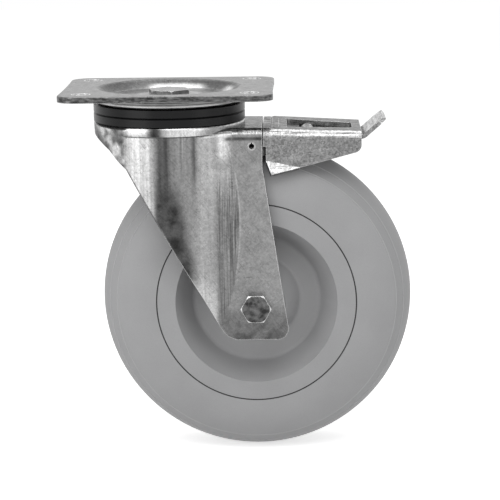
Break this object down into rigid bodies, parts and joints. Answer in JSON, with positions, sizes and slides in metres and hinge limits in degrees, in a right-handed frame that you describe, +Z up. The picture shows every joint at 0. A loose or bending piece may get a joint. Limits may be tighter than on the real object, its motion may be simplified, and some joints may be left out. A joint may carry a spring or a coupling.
{
  "type": "swivel castor with brake",
  "caption": "Swivel castor: bolted top plate, ball-bearing swivel head, pressed steel fork, solid rubber wheel, and a foot pedal that locks wheel and swivel together.",
  "frame": {"origin": "middle of the four-hole pattern, on the top face of the mounting plate", "axes": "+Z up along the swivel axis out of the plate, +X towards the trailing wheel and pedal, Y along the wheel's axle"},
  "size_m": [0.2222, 0.11, 0.236],
  "materials": {
    "zinc_sheet": "bright zinc plate, lightly scratched",
    "zinc_fixing": "bright zinc plate",
    "spring_steel": "oiled spring steel",
    "bearing_steel": "polished",
    "cage_plastic": "moulded",
    "black_plastic": "moulded, matte",
    "grey_plastic": "moulded, fine grain",
    "grey_rubber": "non-marking solid rubber, satin",
    "black_rubber": "matte"
  },
  "bodies": {
    "plate": {"top_plate": "zinc_sheet", "kingpin": "zinc_fixing", "kingpin_sleeve": "zinc_fixing", "lower_race_cup": "zinc_sheet", "swivel_lock_ring": "zinc_sheet", "kingpin_washer": "zinc_fixing", "kingpin_nut": "zinc_fixing"},
    "fork": {"fork": "zinc_sheet", "seal_ring": "black_plastic", "brake_pins": "zinc_fixing", "axle_bolt": "zinc_fixing", "axle_nut": "zinc_fixing", "axle_tube": "zinc_fixing", "pedal_spring": "spring_steel", "spring_rivet": "zinc_fixing"},
    "wheel": {"wheel_hub": "grey_plastic", "tyre": "grey_rubber", "hub_caps": "grey_plastic"},
    "brake": {"brake_pedal": "zinc_sheet", "brake_bracket": "zinc_sheet", "lock_tongue": "zinc_sheet", "tongue_rivets": "zinc_fixing", "brake_shoe": "zinc_sheet", "brake_pad": "black_rubber", "lever_pin": "zinc_fixing"},
    "lever": {"release_lever": "zinc_sheet"},
    "upper_ball_set": {"upper_balls": "bearing_steel"},
    "lower_ball_set": {"lower_balls": "bearing_steel"},
    "roller_set": {"bearing_rollers": "bearing_steel", "bearing_cage": "cage_plastic"}
  },
  "joints": [
    {"name": "swivel", "type": "hinge", "parent": "plate", "child": "fork", "pos_m": [0, 0, 0], "axis": [0, 0, 1], "continuous": true},
    {"name": "wheel_spin", "type": "hinge", "parent": "fork", "child": "wheel", "pos_m": [0.055, 0, -0.136], "axis": [0, 1, 0], "continuous": true},
    {"name": "brake_press", "type": "hinge", "parent": "fork", "child": "brake", "pos_m": [0.0532, 0, -0.0346], "axis": [0, 1, 0], "range_deg": [0, 9], "stiffness_Nm_per_rad": 8, "springref_deg": -17.19},
    {"name": "lever_release", "type": "hinge", "parent": "brake", "child": "lever", "pos_m": [0.0885, 0, -0.0304], "axis": [0, 1, 0], "range_deg": [0, 8], "stiffness_Nm_per_rad": 1, "springref_deg": -11.46},
    {"name": "upper_balls_orbit", "type": "hinge", "parent": "plate", "child": "upper_ball_set", "pos_m": [0, 0, 0], "axis": [0, 0, 1], "continuous": true},
    {"name": "lower_balls_orbit", "type": "hinge", "parent": "plate", "child": "lower_ball_set", "pos_m": [0, 0, 0], "axis": [0, 0, 1], "continuous": true},
    {"name": "rollers_orbit", "type": "hinge", "parent": "fork", "child": "roller_set", "pos_m": [0.055, 0, -0.136], "axis": [0, 1, 0], "continuous": true}
  ],
  "couplings": [
    {"joint": "upper_balls_orbit", "follows": "swivel", "ratio": 0.5},
    {"joint": "lower_balls_orbit", "follows": "swivel", "ratio": 0.5},
    {"joint": "rollers_orbit", "follows": "wheel_spin", "ratio": 0.6053}
  ]
}
